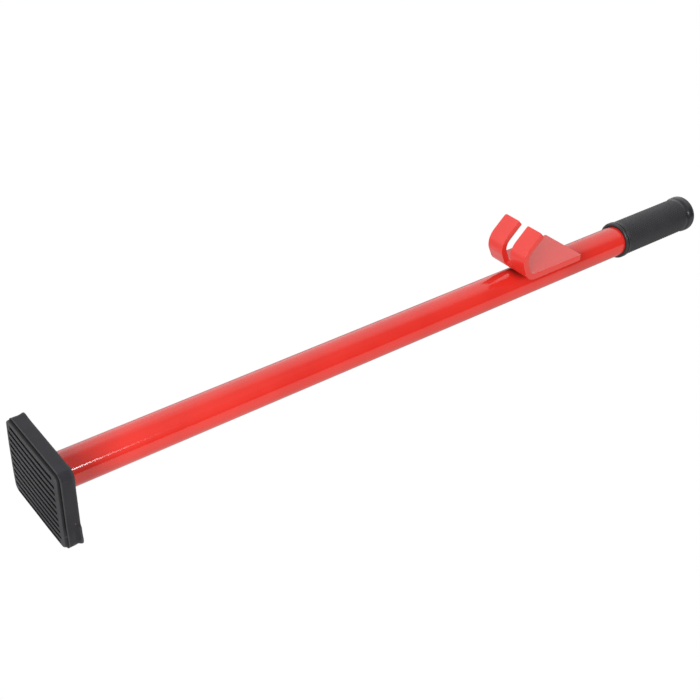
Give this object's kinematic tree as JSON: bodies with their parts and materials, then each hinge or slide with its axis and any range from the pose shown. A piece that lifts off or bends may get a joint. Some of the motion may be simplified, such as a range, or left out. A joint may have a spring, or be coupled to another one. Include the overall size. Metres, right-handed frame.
{
  "type": "foot-pad lever bar with grab hook",
  "caption": "Red tubular lever bar with a square rubber foot pad at one end, a slotted bent grab hook near the other, and a rubber hand grip.",
  "frame": {"origin": "where the long tube's axis meets the plane of the foot pad's tread face, on a land of the tread", "axes": "+X along the tube from the foot pad to the hand grip, +Z towards the side the hook stands on, Y across the width of the pad and the hook"},
  "size_m": [0.7812, 0.089, 0.105],
  "materials": {
    "red_paint": "gloss powder coat",
    "hook_paint": "satin powder coat",
    "weld_paint": "gloss powder coat over weld bead",
    "pad_rubber": "matt moulded rubber",
    "grip_rubber": "matt knurled rubber"
  },
  "bodies": {
    "root": {"main_tube": "red_paint", "foot_plate": "red_paint", "foot_pad": "pad_rubber", "foot_weld": "weld_paint", "grab_hook": "hook_paint", "hook_weld_left": "weld_paint", "hook_weld_right": "weld_paint", "hand_grip": "grip_rubber"}
  },
  "joints": []
}
